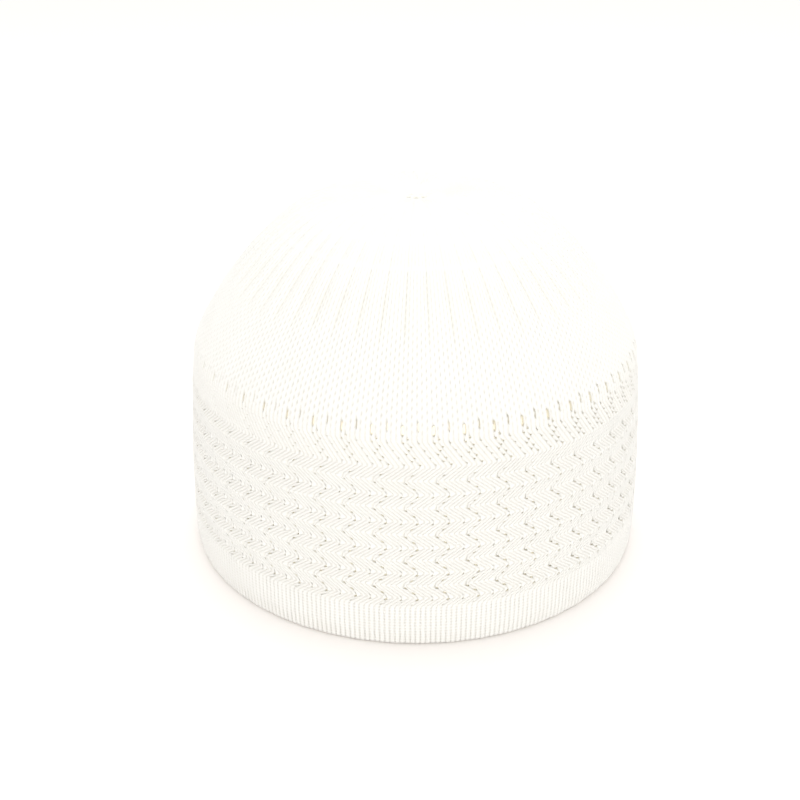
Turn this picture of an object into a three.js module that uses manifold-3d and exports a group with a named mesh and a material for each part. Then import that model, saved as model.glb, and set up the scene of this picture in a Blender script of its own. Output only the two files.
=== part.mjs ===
// A knitted cotton prayer cap, built as a three.js scene graph in millimetres with +Z up.
//
// The cap is knitted in the round as 52 pattern columns, each six wales (columns of stitches)
// wide. From the rim up it has a folded hem, a band of zigzag lace that ends in a row of tall
// slots, and a crown. The crown starts plain, turns into ribs, and is drawn together at the top.
// The origin is the centre of the circle that the rim stands on. The front faces -Y.

import * as THREE from "three";
import { mergeVertices } from "three/addons/utils/BufferGeometryUtils.js";
import Module from "manifold-3d";

const wasm = await Module();
wasm.setup();

// Driving dimensions
const patternColumns = 52;
const rimRadius = 89; // a head of about 56 cm round
const hemHeight = 15.8;
const hemThickness = 3.2; // the hem is folded double
const foldRounding = 1; // how far the folded edge at the rim is rounded
const knitThickness = 1.8;
const jointGap = 0.3; // between one knitted section and the next
const laceTop = 85;
const gatherRadius = 3.5; // where the last loops are drawn together
const gatherLobes = 8; // loops of the yarn end around the middle

// The zigzag of the lace: each column leans to one side, turns, and leans back
const turns = { first: 17.4, step: 4.76, count: 11, topStep: 6.9 };
const zigzagSwing = 0.46; // sideways travel of a turn, as a share of a column's width
const laceRelief = 0.5; // how far its ridges stand out, and its grooves go in

// The holes that are cut through, between one column of the lace and the next. square is the
// share of the length over which a hole has its full width.
const slot = { height: 82, width: 1.3, length: 5, lean: 0, square: 0.5 };
const eyeletHeight = turns.first + 1.5 * turns.step;
const eyelet = { height: eyeletHeight, width: 1.6, length: 3.6, lean: Math.PI / 4, square: 0 };

// The outside from the rim to the middle of the crown. rib is how far the ridges stand out
// there, and the grooves go in.
const outline = [
  { height: 0, radius: rimRadius, rib: 0 },
  { height: 20, radius: 88.9, rib: 0 },
  { height: 40, radius: 88.1, rib: 0 },
  { height: 60, radius: 86.7, rib: 0 },
  { height: 76, radius: 85.2, rib: 0 },
  { height: 84, radius: 83.6, rib: 0.1 },
  { height: 94, radius: 78.4, rib: 0.1 },
  { height: 105, radius: 70.8, rib: 0.1 },
  { height: 115, radius: 62.4, rib: 0.6 },
  { height: 124, radius: 53.2, rib: 0.6 },
  { height: 131, radius: 43.8, rib: 0.6 },
  { height: 135.6, radius: 33.2, rib: 0.5 },
  { height: 138, radius: 19, rib: 0.4 },
  { height: 137.2, radius: 9, rib: 0.2 },
  { height: 135.2, radius: gatherRadius, rib: 0 },
];

// Every column of the pattern is two segments wide: a groove and a ridge
const columnAngle = (2 * Math.PI) / patternColumns;
const segments = 2 * patternColumns;

// The outside radius at a height that is below the flat top
function wallRadius(height) {
  const upper = outline.findIndex((row) => row.height > height);
  const [low, high] = [outline[upper - 1], outline[upper]];
  const share = (height - low.height) / (high.height - low.height);
  return THREE.MathUtils.lerp(low.radius, high.radius, share);
}

// Rows of an outline moved inwards by a thickness, square to the outline
function insetRows(rows, thickness) {
  return rows.map(({ height, radius }, i) => {
    const before = rows[Math.max(i - 1, 0)];
    const after = rows[Math.min(i + 1, rows.length - 1)];
    const along = new THREE.Vector2(after.radius - before.radius, after.height - before.height);
    along.setLength(thickness);
    return { height: height + along.x, radius: radius - along.y };
  });
}

// A ring of knitting turned from a closed section. Odd segments are grooves and even ones are
// ridges. A row with a swing is turned to the right by that share of a column.
function knittedRing(section) {
  const rows = [...section, section[0]];
  const profile = rows.map(({ radius, height }) => new THREE.Vector2(radius, height));
  const lathe = new THREE.LatheGeometry(profile, segments);
  const position = lathe.getAttribute("position");
  for (let i = 0; i <= segments; i++) {
    rows.forEach(({ radius, height, rib = 0, swing = 0 }, j) => {
      const angle = ((i % segments) / 2 + swing) * columnAngle;
      const reach = radius + (i % 2 ? -rib : rib);
      const vertex = i * rows.length + j;
      position.setXYZ(vertex, reach * Math.sin(angle), height, reach * Math.cos(angle));
    });
  }
  return lathe;
}

// A closed geometry as a solid that can be cut
function solidOf(geometry) {
  const bare = geometry.clone();
  bare.deleteAttribute("normal");
  bare.deleteAttribute("uv");
  const merged = mergeVertices(bare, 1e-3);
  const vertProperties = merged.getAttribute("position").array;
  const triVerts = new Uint32Array(merged.index.array);
  return new wasm.Manifold(new wasm.Mesh({ numProp: 3, vertProperties, triVerts }));
}

function geometryOf(solid) {
  const { vertProperties, triVerts } = solid.getMesh();
  const geometry = new THREE.BufferGeometry();
  geometry.setAttribute("position", new THREE.BufferAttribute(vertProperties, 3));
  geometry.setIndex(new THREE.BufferAttribute(triVerts, 1));
  geometry.computeVertexNormals();
  return geometry;
}

// A cutter for one gap: long, pointed at both ends, and right through the wall
function gapCutter({ height, width, length, lean, square }, columnsRound) {
  const [x, y] = [width / 2, length / 2];
  const shape = new THREE.Shape();
  shape.moveTo(0, -y);
  shape.lineTo(x, -y * square);
  if (square > 0) shape.lineTo(x, y * square);
  shape.lineTo(0, y);
  shape.lineTo(-x, y * square);
  if (square > 0) shape.lineTo(-x, -y * square);
  const depth = 4 * knitThickness;
  const cutter = new THREE.ExtrudeGeometry(shape, { depth, bevelEnabled: false });
  cutter.rotateZ(lean);
  cutter.translate(0, height, wallRadius(height) - depth / 2);
  cutter.rotateY(columnsRound * columnAngle);
  return cutter;
}

// The hem: plain knitting folded to the inside and sewn down, so it is twice as thick
function hemBand() {
  const inner = rimRadius - hemThickness;
  return knittedRing([
    { height: 0, radius: inner },
    { height: 0, radius: rimRadius - foldRounding },
    { height: foldRounding, radius: rimRadius },
    { height: hemHeight, radius: wallRadius(hemHeight) },
    { height: hemHeight, radius: inner },
  ]);
}

// The outside rows of the lace: one at each turn of the zigzag, then the upright slot row
function laceRows(bottom) {
  const row = (height, rib, swing) => ({ height, radius: wallRadius(height), rib, swing });
  const rows = [row(bottom, 0, 0)];
  for (let n = 1; n < turns.count; n++) {
    rows.push(row(turns.first + n * turns.step, laceRelief, n % 2 ? zigzagSwing : 0));
  }
  const lastTurn = turns.first + (turns.count - 1) * turns.step + turns.topStep;
  rows.push(row(lastTurn, laceRelief, zigzagSwing));
  rows.push(row(slot.height - slot.length / 2, laceRelief, 0));
  rows.push(row(laceTop, 0.1, 0));
  return rows;
}

function laceBand() {
  const bottom = hemHeight + jointGap;
  const inside = [bottom, slot.height - slot.length, laceTop].map((height) => {
    return { height, radius: wallRadius(height) - knitThickness };
  });
  const band = solidOf(knittedRing([...laceRows(bottom), ...inside.reverse()]));
  const cutters = [];
  for (let n = 0; n < patternColumns; n++) {
    const groove = n + 0.5;
    cutters.push(solidOf(gapCutter(slot, groove)));
    cutters.push(solidOf(gapCutter(eyelet, groove + zigzagSwing / 2)));
  }
  return geometryOf(band.subtract(wasm.Manifold.union(cutters)));
}

function crown() {
  const bottom = { height: laceTop + jointGap, radius: wallRadius(laceTop + jointGap), rib: 0.1 };
  const above = outline.filter(({ height }) => height > bottom.height);
  const outside = [bottom, ...above];
  const inside = insetRows([bottom, ...above.filter((row, i) => i % 2 === 0)], knitThickness);
  inside[0].height = bottom.height;
  inside.at(-1).radius = gatherRadius;
  return knittedRing([...outside, ...inside.reverse()]);
}

// The yarn end, drawn through the last loops and knotted into a small lobed button
function gatherKnot() {
  const radius = gatherRadius - jointGap;
  const top = outline.at(-1).height + 0.4;
  const half = new THREE.Path();
  half.moveTo(0, top - 2);
  half.lineTo(0.8 * radius, top - 2);
  half.quadraticCurveTo(1.2 * radius, top - 0.4, 0, top);
  const lathe = new THREE.LatheGeometry(half.getPoints(4), 2 * gatherLobes);
  const position = lathe.getAttribute("position");
  const rowsRound = position.count / (2 * gatherLobes + 1);
  for (let i = 0; i < position.count; i++) {
    const waist = Math.floor(i / rowsRound) % 2 ? 0.85 : 1;
    position.setX(i, position.getX(i) * waist);
    position.setZ(i, position.getZ(i) * waist);
  }
  return lathe;
}

// Cream-white cotton without shine
function cotton(color) {
  return new THREE.MeshStandardMaterial({ color, roughness: 0.9, metalness: 0 });
}

function namedMesh(name, geometry, material) {
  const mesh = new THREE.Mesh(geometry, material);
  mesh.name = name;
  return mesh;
}

const cap = new THREE.Group();
cap.add(namedMesh("hem_band", hemBand(), cotton("#f3efe6")));
cap.add(namedMesh("lace_band", laceBand(), cotton("#f4f0e6")));
cap.add(namedMesh("crown", crown(), cotton("#f7f4ed")));
cap.add(namedMesh("gather_knot", gatherKnot(), cotton("#f2eee3")));
cap.rotation.x = Math.PI / 2; // a lathe turns about Y, and the cap stands along Z

export default cap;
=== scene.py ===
# %% [markdown]
# A knitted prayer cap
#
# The cap is one piece of cream-white cotton knitting. It has a folded hem, a band of zigzag lace
# with a row of tall slots at its top, and a crown that turns into ribs and is drawn together in
# the middle. This script dresses the solid model with knitting whose stitches, lace holes and
# ribs are real shapes. Everything is in metres, with +Z up and the front towards -Y.

# %% Load the solid model
import math

import bpy
import numpy as np
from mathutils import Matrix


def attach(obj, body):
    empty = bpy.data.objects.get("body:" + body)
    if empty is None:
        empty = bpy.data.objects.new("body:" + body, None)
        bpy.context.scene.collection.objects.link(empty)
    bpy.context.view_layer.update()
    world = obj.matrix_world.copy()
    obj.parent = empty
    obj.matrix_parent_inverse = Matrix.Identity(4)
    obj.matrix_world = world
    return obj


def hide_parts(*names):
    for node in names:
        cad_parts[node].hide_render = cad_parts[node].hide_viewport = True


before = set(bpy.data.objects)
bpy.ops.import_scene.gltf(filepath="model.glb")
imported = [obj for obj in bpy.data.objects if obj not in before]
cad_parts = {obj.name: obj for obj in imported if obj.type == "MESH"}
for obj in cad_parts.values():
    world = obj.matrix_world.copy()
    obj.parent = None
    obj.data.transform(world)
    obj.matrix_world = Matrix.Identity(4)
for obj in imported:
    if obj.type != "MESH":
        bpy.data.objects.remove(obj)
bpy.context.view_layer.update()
print("solid nodes:", sorted(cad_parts))

# %% [markdown]
# The gauge
#
# Knitting is counted in wales, the upright columns of stitches, and courses, the rows. This cap
# has 52 pattern columns of six wales each. A pattern column lies between one line of lace holes
# and the next. So a place on the cap is said in two counts: courses from the rim's folded edge
# up to the middle of the crown, and pattern columns round it.

# %% Sizes of the knitting
MM = 0.001
COLUMNS = 52
WALES = 6
COURSE = 1.255 * MM
COLUMN_ANGLE = 2 * math.pi / COLUMNS
MANY = 200  # more courses than there are

# The courses where each kind of knitting begins
HEM_FIRST, LACE_FIRST, PLAIN_FIRST, RIB_FIRST = -4, 12, 67, 88
print("wales round:", COLUMNS * WALES)

# %% [markdown]
# The outline
#
# A knitted cap hangs in smooth curves, so the outline is a spline through a few heights and
# radii. It starts inside the hem, goes round the folded edge at the floor, and runs up the
# outside to the middle of the crown.

# %% Draw the outline
RIM_RADIUS = 89 * MM
FOLD_RADIUS = 1.7 * MM  # the hem is folded to the inside round an edge of this radius

# The outside of the cap in millimetres, above its folded edge: height, radius
OUTLINE = [
    (20, 88.9),
    (40, 88.1),
    (60, 86.7),
    (76, 85.2),
    (84, 83.6),
    (94, 78.4),
    (105, 70.8),
    (115, 62.4),
    (124, 53.2),
    (131, 43.8),
    (135.6, 33.2),
    (138, 19),
    (137.2, 9),
    (135.0, 2.4),
]


def spline(points, steps):
    """A smooth line through points, with steps on each span."""
    points = np.array(points, float)
    ends = np.vstack([2 * points[0] - points[1], points, 2 * points[-1] - points[-2]])
    t = np.linspace(0, 1, steps, endpoint=False)[:, None]
    line = []
    for a, b, c, d in zip(ends, ends[1:], ends[2:], ends[3:]):
        bend = (2 * a - 5 * b + 4 * c - d) * t**2 + (3 * b - a - 3 * c + d) * t**3
        line.append(b + ((c - a) * t + bend) / 2)
    return np.vstack([*line, points[-1]])


def outline_points():
    """Radius and height along the outside, starting on the inner side of the fold."""
    overlap = -HEM_FIRST * COURSE / FOLD_RADIUS
    angle = np.linspace(overlap, 0, 24, endpoint=False)
    centre = RIM_RADIUS - FOLD_RADIUS
    fold = np.stack([centre + FOLD_RADIUS * np.cos(angle), FOLD_RADIUS * (1 - np.sin(angle))], 1)
    wall = [(RIM_RADIUS, FOLD_RADIUS)] + [(radius * MM, height * MM) for height, radius in OUTLINE]
    return np.vstack([fold, spline(wall, 40)])


outline = outline_points()
along = np.concatenate([[0], np.cumsum(np.hypot(*np.diff(outline, axis=0).T))])
print("from the hem's inner edge to the middle:", round(along[-1] / MM, 1), "mm")

# %% [markdown]
# The courses along the outline
#
# Every course is as tall as the next, up to the crown, where the fabric is stretched a little.
# So the place of a course is a length along the outline. The node tree below needs the same
# formula, which is why it is handed the function that limits a number.


# %% Lay the courses along the outline
CROWN_GROWTH = 0.08  # the courses of the crown are this much taller


def length_to(course, clip):
    """Length along the outline up to a course. clip is np.clip, or Value.within in a tree."""
    taller = clip(course - PLAIN_FIRST, 0, MANY) * CROWN_GROWTH
    return (course - HEM_FIRST + taller) * COURSE


def radius_at(course):
    return np.interp(length_to(course, np.clip), along, outline[:, 0])


LAST_COURSE = next(c for c in range(RIB_FIRST, MANY) if length_to(c + 1, np.clip) > along[-1])
print("courses up to the middle:", LAST_COURSE)

# %% [markdown]
# The outline as a curve
#
# Geometry Nodes can ask a curve object where any length along it lies, and which way it runs
# there. A lathed surface could be asked as well, but the curve holds all that is needed.


# %% Make the outline a curve
def outline_curve():
    curve = bpy.data.curves.new("outline", "CURVE")
    curve.dimensions = "3D"
    line = curve.splines.new("POLY")
    line.points.add(len(outline) - 1)
    for point, (radius, height) in zip(line.points, outline):
        point.co = (radius, 0, height, 1)
    made = bpy.data.objects.new("outline", curve)
    bpy.context.scene.collection.objects.link(made)
    return made


outline_object = outline_curve()
print("points of the outline:", len(outline))

# %% [markdown]
# Arithmetic for node trees
#
# Node trees are easier to read as formulas. A Value holds one output socket, and arithmetic on
# it adds Math nodes, so that 1 - pit works as it would on a number. Every other node comes from
# add, which sets the node's settings first and then its sockets.


# %% Values in a node tree
def add(tree, kind, settings=None, inputs=()):
    """Adds a node of a kind, with its settings, then its inputs by place or by name."""
    node = tree.nodes.new(kind)
    for name, setting in (settings or {}).items():
        setattr(node, name, setting)
    pairs = inputs.items() if isinstance(inputs, dict) else enumerate(inputs)
    for key, value in pairs:
        if isinstance(value, Value):
            tree.links.new(value.socket, node.inputs[key])
        else:
            node.inputs[key].default_value = value
    return Value(next((s for s in node.outputs if s.enabled), None), node)


class Value:
    """A number, colour or vector that flows through a node tree."""

    def __init__(self, socket, node=None):
        self.socket = socket
        self.node = node or socket.node

    def out(self, name):
        return Value(self.node.outputs[name])

    def math(self, operation, *others):
        settings = {"operation": operation}
        return add(self.node.id_data, "ShaderNodeMath", settings, [self, *others])

    def __add__(self, other):
        return self.math("ADD", other)

    def __radd__(self, other):
        return self.math("ADD", other)

    def __sub__(self, other):
        return self.math("SUBTRACT", other)

    def __rsub__(self, other):
        settings = {"operation": "SUBTRACT"}
        return add(self.node.id_data, "ShaderNodeMath", settings, [other, self])

    def __mul__(self, other):
        return self.math("MULTIPLY", other)

    def __rmul__(self, other):
        return self.math("MULTIPLY", other)

    def __truediv__(self, other):
        return self.math("DIVIDE", other)

    def within(self, low, high):
        return self.math("MAXIMUM", low).math("MINIMUM", high)

    def floor(self):
        return self.math("FLOOR")


print("besides arithmetic, a Value can:", [name for name in vars(Value) if name[0] != "_"])

# %% [markdown]
# The zigzag
#
# The real zigzag comes from moving loops sideways for a few courses, then back. All six wales
# of a pattern column move together, so one number for each course says it all: how far it
# is from the left turn to the right one. Above the last turn it runs out into the slots.

# %% Swing the lace from side to side
FIRST_TURN, LAST_TURN, SLOT_FOOT = 15, 55, 62  # the first and last turns at the right
PERIOD = 8  # courses from one turn at the right to the next
LEFT_AT = 0.5  # the turn at the left, as a share of that
SWING = 0.62  # sideways travel of the zigzag, in pattern columns


def swing_at(course, clip, floor):
    """Where the lace is at a course: 0 is left and 1 is right."""
    turned = (clip(course, LACE_FIRST, LAST_TURN) - FIRST_TURN) / PERIOD
    part = turned - floor(turned)
    leaving = clip(1 - part / LEFT_AT, 0, 1)
    coming = clip(1 - (1 - part) / (1 - LEFT_AT), 0, 1)
    last = SLOT_FOOT - LAST_TURN
    return leaving + coming - clip(course - LAST_TURN, 0, last) / last


one_period = np.arange(FIRST_TURN, FIRST_TURN + PERIOD + 1)
print("one period of the zigzag:", swing_at(one_period, np.clip, np.floor))

# %% [markdown]
# The shape of the knitted wall
#
# The wall of the cap follows a rule, so a Geometry Nodes tree bends a flat chart of stitches
# into it. Each point of the chart says how far round and how many courses up it is, whether it
# lies on the outer or the inner face, and whether it is on the crest of a yarn. The tree finds
# the course on the outline, moves the zigzag sideways, and lifts the crests and the ribs.


# %% Build the tree that bends a chart into the wall
def new_tree(name, inputs):
    """A Geometry Nodes tree with named inputs. Returns it with the inputs as Values."""
    tree = bpy.data.node_groups.new(name, "GeometryNodeTree")
    for title, kind in inputs.items():
        tree.interface.new_socket(title, in_out="INPUT", socket_type="NodeSocket" + kind)
    tree.interface.new_socket("Geometry", in_out="OUTPUT", socket_type="NodeSocketGeometry")
    node = tree.nodes.new("NodeGroupInput")
    return tree, {title: Value(node.outputs[title]) for title in inputs}


def end_tree(tree, geometry, material):
    """Ends a tree as every tree here ends: real geometry, with its material."""
    real = add(tree, "GeometryNodeRealizeInstances", inputs=[geometry])
    done = add(tree, "GeometryNodeSetMaterial", inputs={"Geometry": real, "Material": material})
    tree.links.new(done.socket, tree.nodes.new("NodeGroupOutput").inputs[0])


def on_outline(tree, curve, course):
    """The outline's place at a course, as radius and height, and the way that it runs there."""
    profile = add(tree, "GeometryNodeObjectInfo", inputs={"Object": curve})
    found = add(
        tree,
        "GeometryNodeSampleCurve",
        {"mode": "LENGTH"},
        {"Curves": profile.out("Geometry"), "Length": length_to(course, Value.within)},
    )
    place = add(tree, "ShaderNodeSeparateXYZ", inputs=[found.out("Position")])
    heading = add(tree, "ShaderNodeSeparateXYZ", inputs=[found.out("Tangent")])
    return place, heading


def stand_out(tree, sizes, named, place, sine, cosine):
    """How far a point stands out from the outline: its rib, its softness and its yarn."""
    course = named["course"]

    # Each pattern column bulges a little in the lace and more in the ribs
    bulge = (named["round"] * COLUMNS * (2 * math.pi)).math("COSINE") * -0.5
    ribbing = ((course - RIB_FIRST + 6) / 12).within(0.12, 1)
    fade = ((place - 10 * MM) / (35 * MM)).within(0, 1)  # no ribs in the middle of the crown
    finer = (place / (10 * MM)).within(0.25, 1)  # the yarns lie lower in the very middle
    free = (course / 4).within(0, 1)  # 0 where the hem rests on the floor
    spot = add(tree, "ShaderNodeCombineXYZ", inputs=[sine * place, cosine * place, place.out("Z")])
    uneven = add(
        tree,
        "ShaderNodeTexNoise",
        {"noise_dimensions": "4D"},
        {"Vector": spot, "W": sizes["Seed"], "Scale": 60.0, "Detail": 3.0},
    )
    return (
        sizes["Rib height"] * bulge * ribbing * fade
        + (uneven - 0.5) * sizes["Unevenness"] * free
        + named["layer"] * sizes["Wall"]
        + (named["crest"] - 1 + free) * sizes["Relief"] * finer
    )


def wall_tree():
    floats = ("Wall", "Relief", "Rib height", "Swing", "Unevenness", "Seed")
    inputs = {"Geometry": "Geometry", "Outline": "Object", **dict.fromkeys(floats, "Float")}
    tree, sizes = new_tree("knitted_wall", {**inputs, "Material": "Material"})
    named = {
        name: add(tree, "GeometryNodeInputNamedAttribute", {"data_type": "FLOAT"}, [name])
        for name in ("round", "course", "layer", "crest")
    }
    place, heading = on_outline(tree, sizes["Outline"], named["course"])

    # The front's middle lies halfway between two slots. The middle of a slot is a quarter of
    # a wale from the edge of its pattern column.
    swing = swing_at(named["course"], Value.within, Value.floor) * sizes["Swing"]
    angle = (named["round"] * COLUMNS + (0.5 - 0.25 / WALES) + swing) * COLUMN_ANGLE
    sine, cosine = angle.math("SINE"), angle.math("COSINE")
    out = stand_out(tree, sizes, named, place, sine, cosine)
    radius = place + out * heading.out("Z")
    height = place.out("Z") - out * heading
    point = add(tree, "ShaderNodeCombineXYZ", inputs=[radius * sine, radius * cosine * -1, height])
    inputs = {"Geometry": sizes["Geometry"], "Position": point}
    moved = add(tree, "GeometryNodeSetPosition", inputs=inputs)
    end_tree(tree, moved, sizes["Material"])
    return tree


knitted_wall = wall_tree()
print("nodes in the wall's tree:", len(knitted_wall.nodes))

# %% [markdown]
# The chart of stitches
#
# From outside, a plain stitch is a V: two legs of yarn that climb from its middle to its edges.
# The chart gives each stitch four columns of points, which are the valley between wales, the
# left leg, the dip between the legs, and the right leg. Two rows of points to a course are the
# crest of the yarn and the groove above it, and both rows climb with the V. Stitches could also
# be separate little tubes, but a closed fabric has no loose ends and needs far fewer faces.

# %% Heights of the yarn
ACROSS = np.array([0.0, 0.85, 0.9, 0.85])  # height of the four columns of points of a wale
GROOVE = 0.7  # height of the groove between one V and the next, as a share of its crest


def climb(course):
    """How far the legs of a stitch climb, in courses. The cords of the lace are straighter."""
    steps = [LACE_FIRST, LACE_FIRST + 4, SLOT_FOOT - 4, SLOT_FOOT]
    return np.interp(course, steps, [0.6, 0.35, 0.35, 0.6])


def valley(course, wale):
    """Height of the valley between two wales. In the crown, pits alternate like bricks."""
    brick = np.cos((course + wale) * math.pi)
    ladder = np.cos(course * 2 * math.pi)
    steps = [SLOT_FOOT, SLOT_FOOT + 4, RIB_FIRST - 4, RIB_FIRST + 6]
    crown = np.interp(course, steps, [0, 1, 1, 0.4])
    hem = np.clip(LACE_FIRST - course, 0, 1)
    fold = np.clip(1 - abs(course - 0.5) / 3, 0, 1)
    return (0.15 - 0.65 * brick) * crown + (0.3 - 0.7 * ladder) * hem - 0.6 * fold


def rib_groove(course, apart):
    """The valley between two ribs is deeper and wider, with a dot at every second course."""
    dots = 0.5 + 0.5 * np.cos(course * math.pi)
    depth = np.interp(apart, [0, 1, 2, 3], [0.35, 0.45, 0.25, 0]) + (apart == 0) * 0.45 * dots
    return -depth * np.clip((course - RIB_FIRST + 4) / 5, 0, 1)


print("valleys of hem, lace and crown:", np.round([valley(c, 0) for c in (6, 30, 80)], 2))

# %% [markdown]
# A stretch of the chart
#
# A stretch has the same number of wales in every pattern column from its first course to its
# last. It is a grid of numbers, one array for each thing that a point of the chart says.


# %% Chart a stretch
class Stretch:
    """A chart with the same number of wales in every pattern column."""

    def __init__(self, wales, first, last):
        self.wales, self.first, self.last = wales, first, last
        row, column = np.mgrid[2 * first : 2 * last + 1, 0 : 4 * wales * COLUMNS]
        self.row = row / 2
        self.wale = column / 4
        self.round = column / (4 * wales * COLUMNS)
        self.course = row / 2 + climb(row / 2) * abs(column % 4 / 2 - 1)
        self.crest = ACROSS[column % 4] * np.where(row % 2, GROOVE, 1)
        self.crest += np.where(column % 4 == 0, valley(row / 2, column // 4), 0)
        across = column % (4 * wales)
        self.crest += rib_groove(row / 2, np.minimum(across, 4 * wales - across))

        # The stitches get smaller towards the middle of the crown, and their relief lower
        calm = np.interp(radius_at(row / 2), [20 * MM, 40 * MM, 60 * MM], [0.15, 0.4, 1])
        self.crest = 1 - (1 - self.crest) * calm
        self.open = np.zeros((last - first, 2 * wales * COLUMNS), bool)

    def straighten(self, row):
        """Makes a row of points run level and smoother, so that another stretch can join it."""
        self.course[row] = self.row[row] + climb(self.row[row]) / 2
        self.crest[row] = 0.4 + self.crest[row] / 2


NARROW_AT = {6: 52, 5: 43, 4: 34, 3: 25, 2: 14}  # each count of wales ends at a radius in mm


def course_at(radius):
    """The course of the crown where the cap has this radius."""
    return next(c for c in range(RIB_FIRST, MANY) if radius_at(c) < radius * MM)


lower = Stretch(WALES, HEM_FIRST, course_at(NARROW_AT[WALES]))
print("points in the chart with six wales:", lower.crest.size)

# %% [markdown]
# The edge of a hole
#
# In the real lace a yarn is carried over between two wales, and pulls them apart in an oval. A
# hole takes one or more cells of the chart, half a wale wide and a course high, and moves the
# points round them on to its oval. The oval is turned the way the zigzag leans.


# %% Open holes in a chart
def lean_at(course, near=0.4):
    """How far the zigzag goes sideways for each step up, near a course."""
    below, above = swing_at(np.array([course - near, course + near]), np.clip, np.floor)
    return (above - below) / (2 * near) * SWING * COLUMN_ANGLE * radius_at(course) / COURSE


def oval_point(x, y, half_width, half_length, lean):
    """A point of the oval, seen from its middle in direction x, y of the chart."""
    size = math.hypot(x, y)
    x, y = half_width * x / size, half_length * y / size
    turn = -math.atan(lean)
    x, y = x * math.cos(turn) - y * math.sin(turn), x * math.sin(turn) + y * math.cos(turn)
    return x - y * lean, y


def pierce(part, course, half_wale, height, width, length, lift=0):
    """Opens an oval in every pattern column: height in courses, width and length in mm."""
    cell = course - part.first
    middle = course + height / 2 + climb(course) / 2 + lift
    lean = lean_at(middle)
    points = 4 * part.wales * COLUMNS
    rows = range(2 * height + 1)
    edge = [(up, side) for up in rows for side in (0, 1, 2) if side != 1 or up in (0, rows[-1])]
    for group in range(COLUMNS):
        across = (2 * part.wales * group + half_wale) % (points // 2)
        part.open[cell : cell + height, across] = True
        for up, side in edge:
            x, y = oval_point(side - 1, up / height - 1, width / 2 * MM, length / 2 * MM, lean)
            turn = (2 * across + 1) / points + x / (2 * math.pi * radius_at(middle))
            row, column = 2 * cell + up, 2 * across + side
            part.round[row, column % points] = turn - (column >= points)
            part.course[row, column % points] = middle + y / COURSE


print("the lace leans by", np.round([lean_at(FIRST_TURN + up) for up in (2, -2)], 2))

# %% [markdown]
# The holes of the lace
#
# The real holes lie in the line of the zigzag, at the edge of each pattern column. There is one
# at every second course, larger where the lace leans down to the right, and smaller from the
# hem up. A finer gap lies in the middle of the column under each turn to the right. Above the
# last turn the holes are small round dots, and then come the tall slots with a slit between.

# %% Pierce the lace
EDGE, MIDDLE, ONE_WALE = 0, WALES, 2  # places across a pattern column, in half wales

# Width and length of a hole in mm, and how far it is lifted, in courses. The holes of the
# zigzag go by their place, which is how many courses a hole is above a turn to the right.
ZIGZAG = {1: (0.9, 2.0, -0.15), 3: (0.85, 1.7, -0.5), 5: (0.75, 1.9, -0.15), 7: (0.7, 1.4, -0.5)}
FINE_GAP = (0.35, 0.8, -0.6)
DOT, MIDDLE_DOT, SIDE_DOT = (0.7, 0.9), (0.45, 0.7), (0.65, 0.85)
SLOT, SLIT = (1.0, 4.3, 0.2), (0.4, 3.8, 0.2)

ABOVE_LEFT_TURN, BELOW_RIGHT_TURN = 5, 7  # two of the places in the zigzag
AT_HEM = 0.6  # size of the holes next to the hem, as a share of their full size
THINNING = 0.38  # how much smaller the holes are at the last turn, as a share

for course in range(LACE_FIRST, LAST_TURN - 1, 2):
    place = (course - FIRST_TURN) % PERIOD
    size = 1 - THINNING * (course - LACE_FIRST) / (LAST_TURN - LACE_FIRST)
    if course == LACE_FIRST:
        size = AT_HEM
    width, length, lift = ZIGZAG[place]
    half_wale = 1 if place == ABOVE_LEFT_TURN else EDGE
    pierce(lower, course, half_wale, 1, width * size, length * size, lift)
    if place == BELOW_RIGHT_TURN:
        pierce(lower, course, MIDDLE, 1, *FINE_GAP)
for course in range(LAST_TURN, SLOT_FOOT, 2):
    pierce(lower, course, EDGE, 1, *DOT)
    pierce(lower, course, MIDDLE, 1, *MIDDLE_DOT)
    half_wale = -ONE_WALE if course < LAST_TURN + 4 else ONE_WALE
    pierce(lower, course + 1, half_wale, 1, *SIDE_DOT)
pierce(lower, SLOT_FOOT + 1, EDGE, 3, *SLOT)
pierce(lower, SLOT_FOOT + 2, MIDDLE, 3, *SLIT)
print("open cells in the chart:", int(lower.open.sum()))

# %% [markdown]
# Faces between rows of points
#
# The outer face of the fabric has every point of the chart, and the inner face every second
# one, because the inside is seen less. Between rows of the same length the faces have four
# corners. Where the crown is narrowed, triangles join one row to a shorter one.


# %% Faces between rows
def sheet(numbers, keep):
    """Four-cornered faces between rows of points, where keep is true."""
    right = np.roll(numbers, -1, axis=1)
    return np.stack([numbers[:-1], right[:-1], right[1:], numbers[1:]], -1)[keep]


def zipped(below, above):
    """Triangles between two rows that have different numbers of points."""
    i = j = 0
    faces = []
    n, m = len(below), len(above)
    while i < n or j < m:
        if j == m or (i < n and (i + 1) * m <= (j + 1) * n):
            faces.append((below[i % n], below[(i + 1) % n], above[j % m]))
            i += 1
        else:
            faces.append((below[i % n], above[(j + 1) % m], above[j % m]))
            j += 1
    return np.array(faces)


print("triangles between 6 points and 5:", len(zipped(np.arange(6), np.arange(6, 11))))

# %% [markdown]
# Faces through the wall
#
# Five-cornered faces join the outer face to the inner one round each hole and along each end,
# because two spans of the outer face meet one of the inner. So a section is one closed skin.


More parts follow.
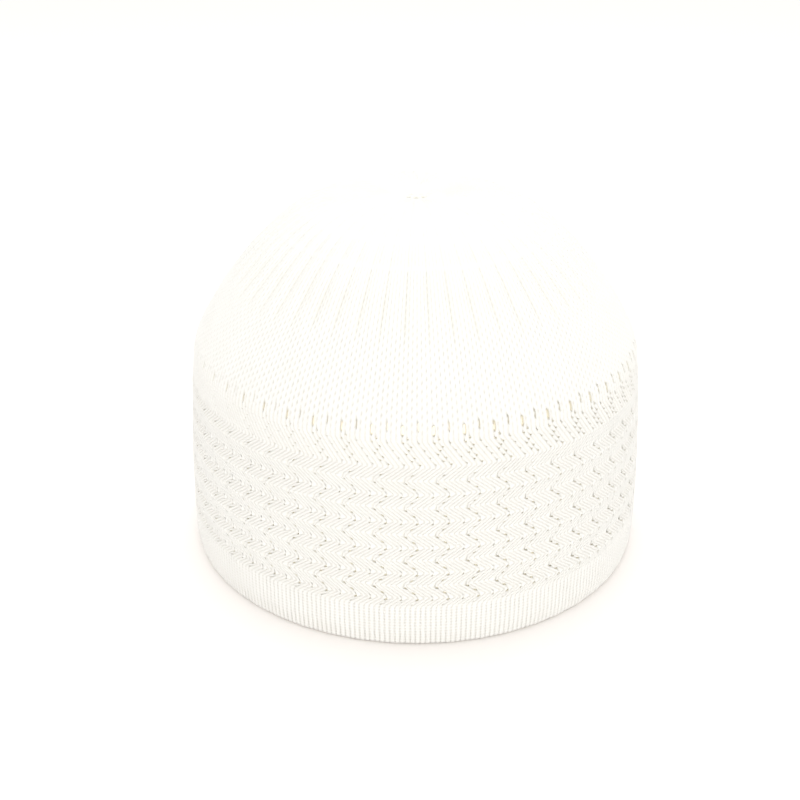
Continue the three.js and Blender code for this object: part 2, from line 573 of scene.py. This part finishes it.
# %% Faces at the edges
def hole_edges(outer, inner, solid):
    """Five-cornered faces round every hole, one by one."""
    faces = []
    right = np.roll(outer, -1, axis=1)
    for row, column in np.argwhere(solid[:-1] != solid[1:]):
        o, i = outer[2 * row + 2], inner[row + 1]
        across = [o[2 * column], o[2 * column + 1], right[2 * row + 2, 2 * column + 1]]
        face = [*across, i[(column + 1) % len(i)], i[column]]
        faces.append(face if solid[row, column] else face[::-1])
    for row, column in np.argwhere(solid != np.roll(solid, 1, axis=1)):
        up = [outer[2 * row + k, 2 * column] for k in (0, 1, 2)]
        face = [*up, inner[row + 1, column], inner[row, column]]
        faces.append(face if solid[row, column] else face[::-1])
    return np.array(faces, int).reshape(-1, 5)


def end_faces(outer, inner, solid):
    """Five-cornered faces along one end, where the fabric is solid there."""
    ring = [outer[::2], outer[1::2], np.roll(outer, -1)[1::2]]
    faces = np.stack([*ring, np.roll(inner, -1), inner], -1)
    return faces[np.broadcast_to(solid, len(faces))]


ring = np.arange(4 * COLUMNS * WALES)
print("faces along an end:", len(end_faces(ring, ring[::2], True)))

# %% [markdown]
# From chart to closed fabric
#
# A fabric collects the points and faces of one section, from one stretch of the chart or from
# several that follow each other. Its end faces are kept apart, because they meet the rest at a
# sharp edge, and so are its end rows, because the next section has the same points.


# %% Collect a fabric
class Fabric:
    """Points and faces of one section of the cap, built up from stretches of the chart."""

    def __init__(self):
        self.points = {name: [] for name in ("round", "course", "crest", "layer", "wale", "row")}
        self.count = 0
        self.faces = []
        self.ends = []
        self.end_rows = []

    def add_points(self, stretch, rows, layer):
        """Adds rows of points on one face of the fabric and returns their numbers."""
        step = 1 if layer == 0 else 2
        names = ("round", "course", "wale", "row", "crest")
        part = {name: getattr(stretch, name)[rows, ::step] for name in names}
        if layer:
            ridges = 0.7 - 0.4 * (np.arange(part["round"].shape[1]) % 2)
            part["crest"] = np.broadcast_to(ridges, part["round"].shape)
        part["layer"] = np.full_like(part["round"], layer)
        for name, values in part.items():
            self.points[name].append(values.ravel())
        numbers = self.count + np.arange(part["round"].size).reshape(part["round"].shape)
        self.count += numbers.size
        return numbers

    def add_faces(self, faces, outward=True):
        self.faces.append(faces if outward else faces[:, ::-1])

    def stretch(self, stretch, first, last, inner_first=None):
        """Adds the courses first to last of a stretch, with the edges of its holes."""
        inner_first = first if inner_first is None else inner_first
        low, high = first - stretch.first, last - stretch.first
        outer = self.add_points(stretch, slice(2 * low, 2 * high + 1), 0)
        inner_low = inner_first - stretch.first
        inner = self.add_points(stretch, slice(2 * inner_low, 2 * high + 1, 2), -1)
        solid = ~stretch.open[low:high]
        self.add_faces(sheet(outer, solid.repeat(2, 0).repeat(2, 1)))
        self.add_faces(sheet(inner, solid[inner_first - first :]), outward=False)
        if inner_first == first:
            self.add_faces(hole_edges(outer, inner, solid))
        return outer, inner

    def close(self, outer, inner, upward, solid=True):
        """Closes an end of the section where it is solid, from its outer to its inner row."""
        faces = end_faces(outer, inner, solid)
        self.ends.append(faces if upward else faces[:, ::-1])
        self.end_rows.append(outer)


trial = Fabric()
trial.stretch(lower, RIB_FIRST, RIB_FIRST + 1)
print("points in one course of ribs:", trial.count)

# %% [markdown]
# Two maps of the fabric
#
# One map, OFBake, spreads the fabric flat so that its colours can be stored in an image: the
# outer face below, the inner face above, and the walls through it between them. The other,
# knit, counts wales and courses, so that the twist of the yarn follows each leg of each stitch.


# %% Draw the maps
def unwrapped(values, face_starts, face_of):
    """Makes the way round run on past 1 in the faces that close the ring."""
    low = np.minimum.reduceat(values, face_starts)[face_of]
    high = np.maximum.reduceat(values, face_starts)[face_of]
    return values + ((high - low > 0.5) & (values < 0.5))


def flat_places(way_round, course, layer, starts, sizes, face_of):
    """Places in the map for colours."""
    up = (course - course.min()) / np.ptp(course)
    side = sizes[face_of] == 5
    rise = course - np.minimum.reduceat(course, starts)[face_of]
    x = 0.005 + 0.98 * way_round + np.where(side, 0.002 * rise, 0)
    y = np.where(layer == 0, 0.02 + 0.62 * up, 0.74 + 0.24 * up)
    return x, np.where(side, 0.67 - 0.04 * layer, y)


def draw_maps(mesh, values, corners, starts, sizes):
    face_of = np.repeat(np.arange(len(sizes)), sizes)
    way_round = unwrapped(values["round"][corners], starts, face_of)
    course, layer = values["course"][corners], values["layer"][corners]
    wales = way_round * np.max(values["wale"]) / np.max(values["round"])
    places = {
        "OFBake": flat_places(way_round, course, layer, starts, sizes, face_of),
        "knit": (wales, values["row"][corners]),
    }
    for title, place in places.items():
        drawn = mesh.uv_layers.new(name=title)
        drawn.data.foreach_set("uv", np.stack(place, 1).ravel().astype(np.float32))


across_the_seam = unwrapped(np.array([0.99, 0.0, 0.99]), np.array([0]), np.array([0, 0, 0]))
print("a face that closes the ring runs from", across_the_seam.min(), "to", across_the_seam.max())

# %% [markdown]
# From numbers to a mesh
#
# The faces go into a mesh with foreach_set, which is quick for large meshes. The points carry
# the chart as attributes, for the tree and for the materials.


# %% Make a mesh of the fabric
def fill_faces(mesh, corners, sizes, flat):
    """Gives a mesh its faces. The last ones, as many as flat says, are shaded flat."""
    mesh.loops.add(len(corners))
    mesh.polygons.add(len(sizes))
    starts = np.concatenate([[0], np.cumsum(sizes)[:-1]])
    mesh.loops.foreach_set("vertex_index", corners.astype(np.int32))
    mesh.polygons.foreach_set("loop_start", starts.astype(np.int32))
    mesh.polygons.foreach_set("use_smooth", np.arange(len(sizes)) < len(sizes) - flat)
    mesh.update(calc_edges=True)
    return starts


def mesh_of(name, fabric):
    """The mesh of a fabric, and its two end rows in the mesh's own numbers."""
    faces = fabric.faces + fabric.ends
    corners = np.concatenate([f.ravel() for f in faces])
    sizes = np.concatenate([np.full(len(f), f.shape[1]) for f in faces])
    used, corners = np.unique(corners, return_inverse=True)
    values = {title: np.concatenate(parts)[used] for title, parts in fabric.points.items()}
    mesh = bpy.data.meshes.new(name)
    mesh.vertices.add(len(used))
    starts = fill_faces(mesh, corners, sizes, sum(len(f) for f in fabric.ends))
    for title, column in values.items():
        attribute = mesh.attributes.new(title, "FLOAT", "POINT")
        attribute.data.foreach_set("value", column.astype(np.float32))
    draw_maps(mesh, values, corners, starts, sizes)
    return mesh, [np.searchsorted(used, row) for row in fabric.end_rows]


trial_mesh = mesh_of("trial", trial)[0]
print("faces in one course of ribs:", len(trial_mesh.polygons))
bpy.data.meshes.remove(trial_mesh)

# %% [markdown]
# Cotton yarn
#
# The yarn is smooth white cotton, slightly warm. Light that falls between two yarns bounces
# about and comes out warmer and darker, so that shade is painted into the colour: it deepens a
# little from crest to valley, and more halfway through a hole. The twist is bump, because it is
# far smaller than a stitch.

# %% Make the cotton
CREST_COLOUR = (0.935, 0.93, 0.9, 1)
# painted shade: the valleys between yarns and the walls through the holes are painted darker and
# warmer
VALLEY_SHADE_COLOUR = (0.83, 0.81, 0.74, 1)
HOLE_SHADE_COLOUR = (0.78, 0.75, 0.64, 1)


def mixed(tree, share, first, second):
    """A colour between two, at a share of the way."""
    inputs = {0: share.within(0, 1), 6: first, 7: second}
    return add(tree, "ShaderNodeMix", {"data_type": "RGBA"}, inputs)


def attribute(tree, name):
    return add(tree, "ShaderNodeAttribute", {"attribute_name": name}).out("Fac")


def noise(tree, place, scale):
    return add(tree, "ShaderNodeTexNoise", inputs={"Vector": place, "Scale": scale}).out("Fac")


def plies(tree):
    """The twist of the yarn, slanting across each leg of each stitch."""
    stitches = add(tree, "ShaderNodeUVMap", {"uv_map": "knit"})
    chart = add(tree, "ShaderNodeSeparateXYZ", inputs=[stitches])
    leg = (chart.math("FRACT") - 0.5).math("ABSOLUTE")
    return ((leg * 5 + chart.out("Y")) * (2 * math.pi)).math("SINE")


def cotton(name, knitted=True):
    material = bpy.data.materials.new(name)
    material.use_nodes = True
    tree = material.node_tree
    shader = tree.nodes["Principled BSDF"]
    shader.inputs["Sheen Weight"].default_value = 0.15
    shader.inputs["Specular IOR Level"].default_value = 0.25
    place = add(tree, "ShaderNodeTexCoord").out("Object")
    cloudy = noise(tree, place, scale=90.0)
    fibres = noise(tree, place, scale=2600.0)
    # painted shade, deeper from crest to valley, plus random tone from the noise
    depth = (1 - attribute(tree, "crest")) * 0.75 + (cloudy - 0.5) * 0.3
    colour = mixed(tree, depth, CREST_COLOUR, VALLEY_SHADE_COLOUR)
    relief = fibres
    if knitted:
        layer = attribute(tree, "layer")
        inside = layer * (layer + 1) * -4  # 0 on both faces of the fabric, 1 halfway through
        # painted shade halfway through the wall, on the walls round the holes and ends
        colour = mixed(tree, inside, colour, HOLE_SHADE_COLOUR)
        relief = fibres * 0.4 + plies(tree) * 0.6
    rough = 0.8 + cloudy * 0.15
    inputs = {"Strength": 0.5, "Distance": 0.0001, "Height": relief}
    bump = add(tree, "ShaderNodeBump", inputs=inputs)
    for socket, value in (("Base Color", colour), ("Roughness", rough), ("Normal", bump)):
        tree.links.new(value.socket, shader.inputs[socket])
    return material


knit_cotton = cotton("knit_cotton")
yarn_cotton = cotton("yarn_cotton", knitted=False)
print("cottons:", knit_cotton.name, "and", yarn_cotton.name)

# %% [markdown]
# Keeping what a tree makes
#
# A tree shapes a piece once. The result is kept as a plain mesh and the modifier goes. Then
# the piece is hung on the root body, and the solid that it replaces is hidden.


# %% Shape a piece with a tree
def shape(made, tree, sizes, node):
    modifier = made.modifiers.new(tree.name, "NODES")
    modifier.node_group = tree
    for item in tree.interface.items_tree:
        if item.name in sizes and item.in_out == "INPUT":
            modifier[item.identifier] = sizes[item.name]
    graph = bpy.context.evaluated_depsgraph_get()
    mesh = bpy.data.meshes.new_from_object(
        made.evaluated_get(graph), preserve_all_data_layers=True, depsgraph=graph
    )
    made.modifiers.remove(modifier)
    made.data = mesh
    mesh.name = made.name
    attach(made, "root")
    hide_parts(node)
    corners = np.zeros(len(mesh.polygons), np.int32)
    mesh.polygons.foreach_get("loop_total", corners)
    print(made.name, "has", int((corners - 2).sum()), "triangles")


# %% [markdown]
# The hem, the lace and the crown
#
# Each section is a mesh that stands for one solid node, or for a part of one. The hem is folded
# double, so its wall is as thick as the fold is wide, and its inner face begins at the fold.

# %% Bend the charts into the cap
WALL = 1.4 * MM
HEM_WALL = 2 * FOLD_RADIUS
SIZES = {
    "Outline": outline_object,
    "Relief": 0.45 * MM,
    "Rib height": 0.9 * MM,
    "Swing": SWING,
    "Unevenness": 1.0 * MM,
    "Seed": 3.0,
    "Material": knit_cotton,
}
sections = []


def bend(name, fabric, slot, node, wall=WALL):
    mesh, end_rows = mesh_of(name, fabric)
    made = bpy.data.objects.new(name, mesh)
    bpy.context.scene.collection.objects.link(made)
    shape(made, knitted_wall, {**SIZES, "Wall": wall}, node)
    sections.append((made.data, end_rows))


def section(name, first, last, slot, node):
    fabric = Fabric()
    outer, inner = fabric.stretch(lower, first, last)
    solid = ~lower.open[first - lower.first : last - lower.first]
    fabric.close(outer[0], inner[0], False, solid[0])
    fabric.close(outer[-1], inner[-1], True, solid[-1])
    bend(name, fabric, slot, node)


hem = Fabric()
outer, inner = hem.stretch(lower, HEM_FIRST, LACE_FIRST, inner_first=0)
hem.close(outer[0], inner[0], False)
hem.close(outer[-1], inner[-1], True)
bend("hem", hem, "hem_knit", "hem_band", HEM_WALL)

LOWER_TOP, MIDDLE_TOP = 31, 49  # the courses where the meshes of the lace meet
TOP_OVERLAP = 3  # courses with six wales that belong to the section at the top
section("lace_lower", LACE_FIRST, LOWER_TOP, "lace_knit", "lace_band")
section("lace_middle", LOWER_TOP, MIDDLE_TOP, "lace_knit", "lace_band")
section("lace_slots", MIDDLE_TOP, PLAIN_FIRST, "lace_knit", "lace_band")
section("crown_plain", PLAIN_FIRST, RIB_FIRST, "crown_knit", "crown")
section("crown_ribs", RIB_FIRST, lower.last - TOP_OVERLAP, "crown_knit", "crown")

# %% [markdown]
# The narrowing
#
# A real crown is narrowed by knitting two stitches together, so that each pattern column loses
# a wale at a time, from six down to one. A row on each side of such a place runs level, which
# lets triangles join them without a fold.


# %% Narrow the crown to its middle
def narrowed(wales, first):
    """A stretch of the upper crown, as far as its count of wales goes."""
    last = course_at(NARROW_AT[wales]) if wales in NARROW_AT else LAST_COURSE
    part = Stretch(wales, first, last)
    part.straighten(0)
    if wales > 1:
        part.straighten(-1)
    return part


def crown_top():
    fabric = Fabric()
    lower.straighten(-1)
    below = fabric.stretch(lower, lower.last - TOP_OVERLAP, lower.last)
    fabric.close(below[0][0], below[1][0], False)
    first = lower.last + 1
    for wales in range(WALES - 1, 0, -1):
        part = narrowed(wales, first)
        above = fabric.stretch(part, part.first, part.last)
        fabric.add_faces(zipped(below[0][-1], above[0][0]))
        fabric.add_faces(zipped(below[1][-1], above[1][0]), outward=False)
        below = above
        first = part.last + 1
    fabric.close(below[0][-1], below[1][-1], True)
    bend("crown_top", fabric, "crown_knit", "crown")


crown_top()

# %% [markdown]
# One fabric, not seven
#
# The sections only exist to keep each mesh small, so nothing should show where two of them meet.
# Their shared rows of points get the same shading normal, halfway between the two sides.


# %% Shade across the joins
def read(things, name, kind, width=1):
    """One property of all faces or corners of a mesh."""
    values = np.zeros(len(things) * width, kind)
    things.foreach_get(name, values)
    return values


class Shading:
    """The normals of one section: those that its points have, and those that are given."""

    def __init__(self, mesh, end_rows):
        self.mesh = mesh
        self.foot, self.head = end_rows
        self.point_of = read(mesh.loops, "vertex_index", int)
        smooth = read(mesh.polygons, "use_smooth", bool)
        self.corners = np.flatnonzero(np.repeat(smooth, read(mesh.polygons, "loop_total", int)))
        normals = read(mesh.corner_normals, "vector", float, 3).reshape(-1, 3)
        self.at_point = np.zeros((len(mesh.vertices), 3))
        self.at_point[self.point_of[self.corners]] = normals[self.corners]
        self.given = np.zeros_like(normals)  # 0 leaves a corner as it is

    def give(self, row, normals):
        """Gives a row of points its normals, in the corners of its smooth faces."""
        chosen = np.zeros_like(self.at_point)
        chosen[row] = normals
        self.given[self.corners] += chosen[self.point_of[self.corners]]


shadings = [Shading(mesh, end_rows) for mesh, end_rows in sections]
for below, above in zip(shadings, shadings[1:]):
    shared = below.at_point[below.head] + above.at_point[above.foot]
    shared /= np.linalg.norm(shared, axis=1)[:, None]
    below.give(below.head, shared)
    above.give(above.foot, shared)
for shading in shadings:
    shading.mesh.normals_split_custom_set(shading.given)
print("joins shaded:", len(shadings) - 1)

# %% [markdown]
# The middle of the crown
#
# The last loops are held by the yarn end, which is drawn through them and pulled tight. What
# shows is a small rosette of yarn arches. They repeat round a point in three pairs, so a tree
# bends one yarn and places it six times.

# %% Draw the last loops together
ARCHES = 6
PAIR_ANGLE, WITHIN_PAIR, FIRST_ANGLE = 120, 52, 64  # in degrees
CREST_AT = 0.7  # where an arch is pulled up, as a share of its reach
MIDDLE_LIFT = 0.6 * MM  # how far the middle stands above the foot of an arch


def arch(tree, sizes):
    """One yarn, bent from the edge of the opening up and down to the middle."""
    foot = add(tree, "ShaderNodeCombineXYZ", inputs=[sizes["Reach"], 0.0, sizes["Foot"]])
    top = [sizes["Reach"] * CREST_AT, 0.0, sizes["Foot"] + sizes["Rise"]]
    crest = add(tree, "ShaderNodeCombineXYZ", inputs=top)
    end = [0.0, 0.0, sizes["Foot"] + MIDDLE_LIFT]
    middle = add(tree, "ShaderNodeCombineXYZ", inputs=end)
    path = add(tree, "GeometryNodeCurveQuadraticBezier", inputs=[12, foot, crest, middle])
    circle = {"Resolution": 12, "Radius": sizes["Yarn radius"]}
    ring = add(tree, "GeometryNodeCurvePrimitiveCircle", inputs=circle)
    sweep = {"Curve": path, "Profile Curve": ring, "Fill Caps": True}
    return add(tree, "GeometryNodeCurveToMesh", inputs=sweep)


def rosette_tree():
    floats = ("Reach", "Foot", "Rise", "Yarn radius")
    inputs = {"Geometry": "Geometry", "Arches": "Int", **dict.fromkeys(floats, "Float")}
    tree, sizes = new_tree("drawn_together", {**inputs, "Material": "Material"})
    index = add(tree, "GeometryNodeInputIndex")
    pair = (index / 2).math("FLOOR")
    degrees = pair * PAIR_ANGLE + (index - pair * 2) * WITHIN_PAIR + FIRST_ANGLE
    turn = degrees * (math.pi / 180)
    placed = {
        "Points": add(tree, "GeometryNodePoints", inputs=[sizes["Arches"]]),
        "Instance": arch(tree, sizes),
        "Rotation": add(tree, "ShaderNodeCombineXYZ", inputs=[0.0, 0.0, turn]),
    }
    arches = add(tree, "GeometryNodeInstanceOnPoints", inputs=placed)
    end_tree(tree, arches, sizes["Material"])
    return tree


def drawn_loops():
    made = bpy.data.objects.new("drawn_loops", bpy.data.meshes.new("drawn_loops"))
    bpy.context.scene.collection.objects.link(made)
    sizes = {
        "Arches": ARCHES,
        "Reach": 3.9 * MM,
        "Foot": 134.2 * MM,
        "Rise": 2.4 * MM,
        "Yarn radius": 0.85 * MM,
        "Material": yarn_cotton,
    }
    shape(made, rosette_tree(), sizes, "gather_knot")
    made.data.polygons.foreach_set("use_smooth", np.ones(len(made.data.polygons), bool))


drawn_loops()

# %% [markdown]
# The floor
#
# The photo is a product shot on white, with only a thin warm shadow where the rim touches the
# floor. So the floor is a pale plane that the light turns white, a little warmer than the cap.

# %% Lay the floor
SIDE = 12  # half the side of the floor, in metres
FLOOR_COLOUR = (0.965, 0.93, 0.9, 1)


def pale_floor():
    mesh = bpy.data.meshes.new("floor")
    corners = [(-SIDE, -SIDE, 0), (SIDE, -SIDE, 0), (SIDE, SIDE, 0), (-SIDE, SIDE, 0)]
    mesh.from_pydata(corners, [], [(0, 1, 2, 3)])
    made = bpy.data.objects.new("floor", mesh)
    bpy.context.scene.collection.objects.link(made)
    pale = bpy.data.materials.new("pale_floor")
    pale.use_nodes = True
    shader = pale.node_tree.nodes["Principled BSDF"]
    shader.inputs["Base Color"].default_value = FLOOR_COLOUR
    shader.inputs["Roughness"].default_value = 0.9
    mesh.materials.append(pale)


pale_floor()
print("floor:", 2 * SIDE, "m square")

# %% [markdown]
# The light
#
# The light is even and comes from all sides, with one soft lamp above and one in front. White
# cotton lets light soak through, so the inside of a real cap is nearly as bright as the outside.
# A small warm lamp inside the cap does the same, and is quicker than letting light through.


# %% Light the cap
def studio(strength):
    world = bpy.data.worlds.new("studio")
    world.use_nodes = True
    background = world.node_tree.nodes["Background"]
    background.inputs["Color"].default_value = (1, 1, 1, 1)
    background.inputs["Strength"].default_value = strength
    bpy.context.scene.world = world


def lamp(name, kind, place, power):
    light = bpy.data.lights.new(name, kind)
    light.energy = power
    made = bpy.data.objects.new(name, light)
    made.location = place
    bpy.context.scene.collection.objects.link(made)
    return made


def softbox(name, place, size, power):
    """A round soft lamp that shines at the foot of the cap."""
    made = lamp(name, "AREA", place, power)
    made.data.shape = "DISK"
    made.data.size = size
    aim = -made.location.normalized()
    made.rotation_euler = aim.to_track_quat("-Z", "Y").to_euler()


studio(strength=1.03)
softbox("key", place=(0.0, 0.25, 1.15), size=0.6, power=3.4)
softbox("front", place=(0.15, -1.3, 0.4), size=0.7, power=2.5)
soaked = lamp("soaked_through", "POINT", place=(0, 0, 0.07), power=0.17)
soaked.data.color = (1.0, 0.95, 0.86)
soaked.data.shadow_soft_size = 0.04
soaked.visible_camera = False
print("lamps:", [light.name for light in bpy.data.lights])

# %% [markdown]
# The camera
#
# The camera stands where the photographer's did. Its height, distance and lens were worked out
# from the shape of the rim in the photo and from the even spacing of the slots.

# %% Set up the camera
LENS = 53.1
ELEVATION = math.radians(26.85)
DISTANCE = 471.6 * MM
AIM_X, AIM_Z = -5.9 * MM, 51.9 * MM

camera_data = bpy.data.cameras.new("camera")
camera_data.lens = LENS
camera_data.sensor_width = 36
camera = bpy.data.objects.new("camera", camera_data)
camera.location = (
    AIM_X,
    -DISTANCE * math.cos(ELEVATION),
    AIM_Z + DISTANCE * math.sin(ELEVATION),
)
camera.rotation_euler = (math.pi / 2 - ELEVATION, 0, 0)
bpy.context.scene.collection.objects.link(camera)
bpy.context.scene.camera = camera
bpy.context.scene.view_settings.view_transform = "Standard"
print("camera at", [round(x, 3) for x in camera.location])

# %% [markdown]
# Taking the outline away
#
# The outline was only there to be asked, so it is taken away.

# %% Take the outline away
bpy.data.objects.remove(outline_object)
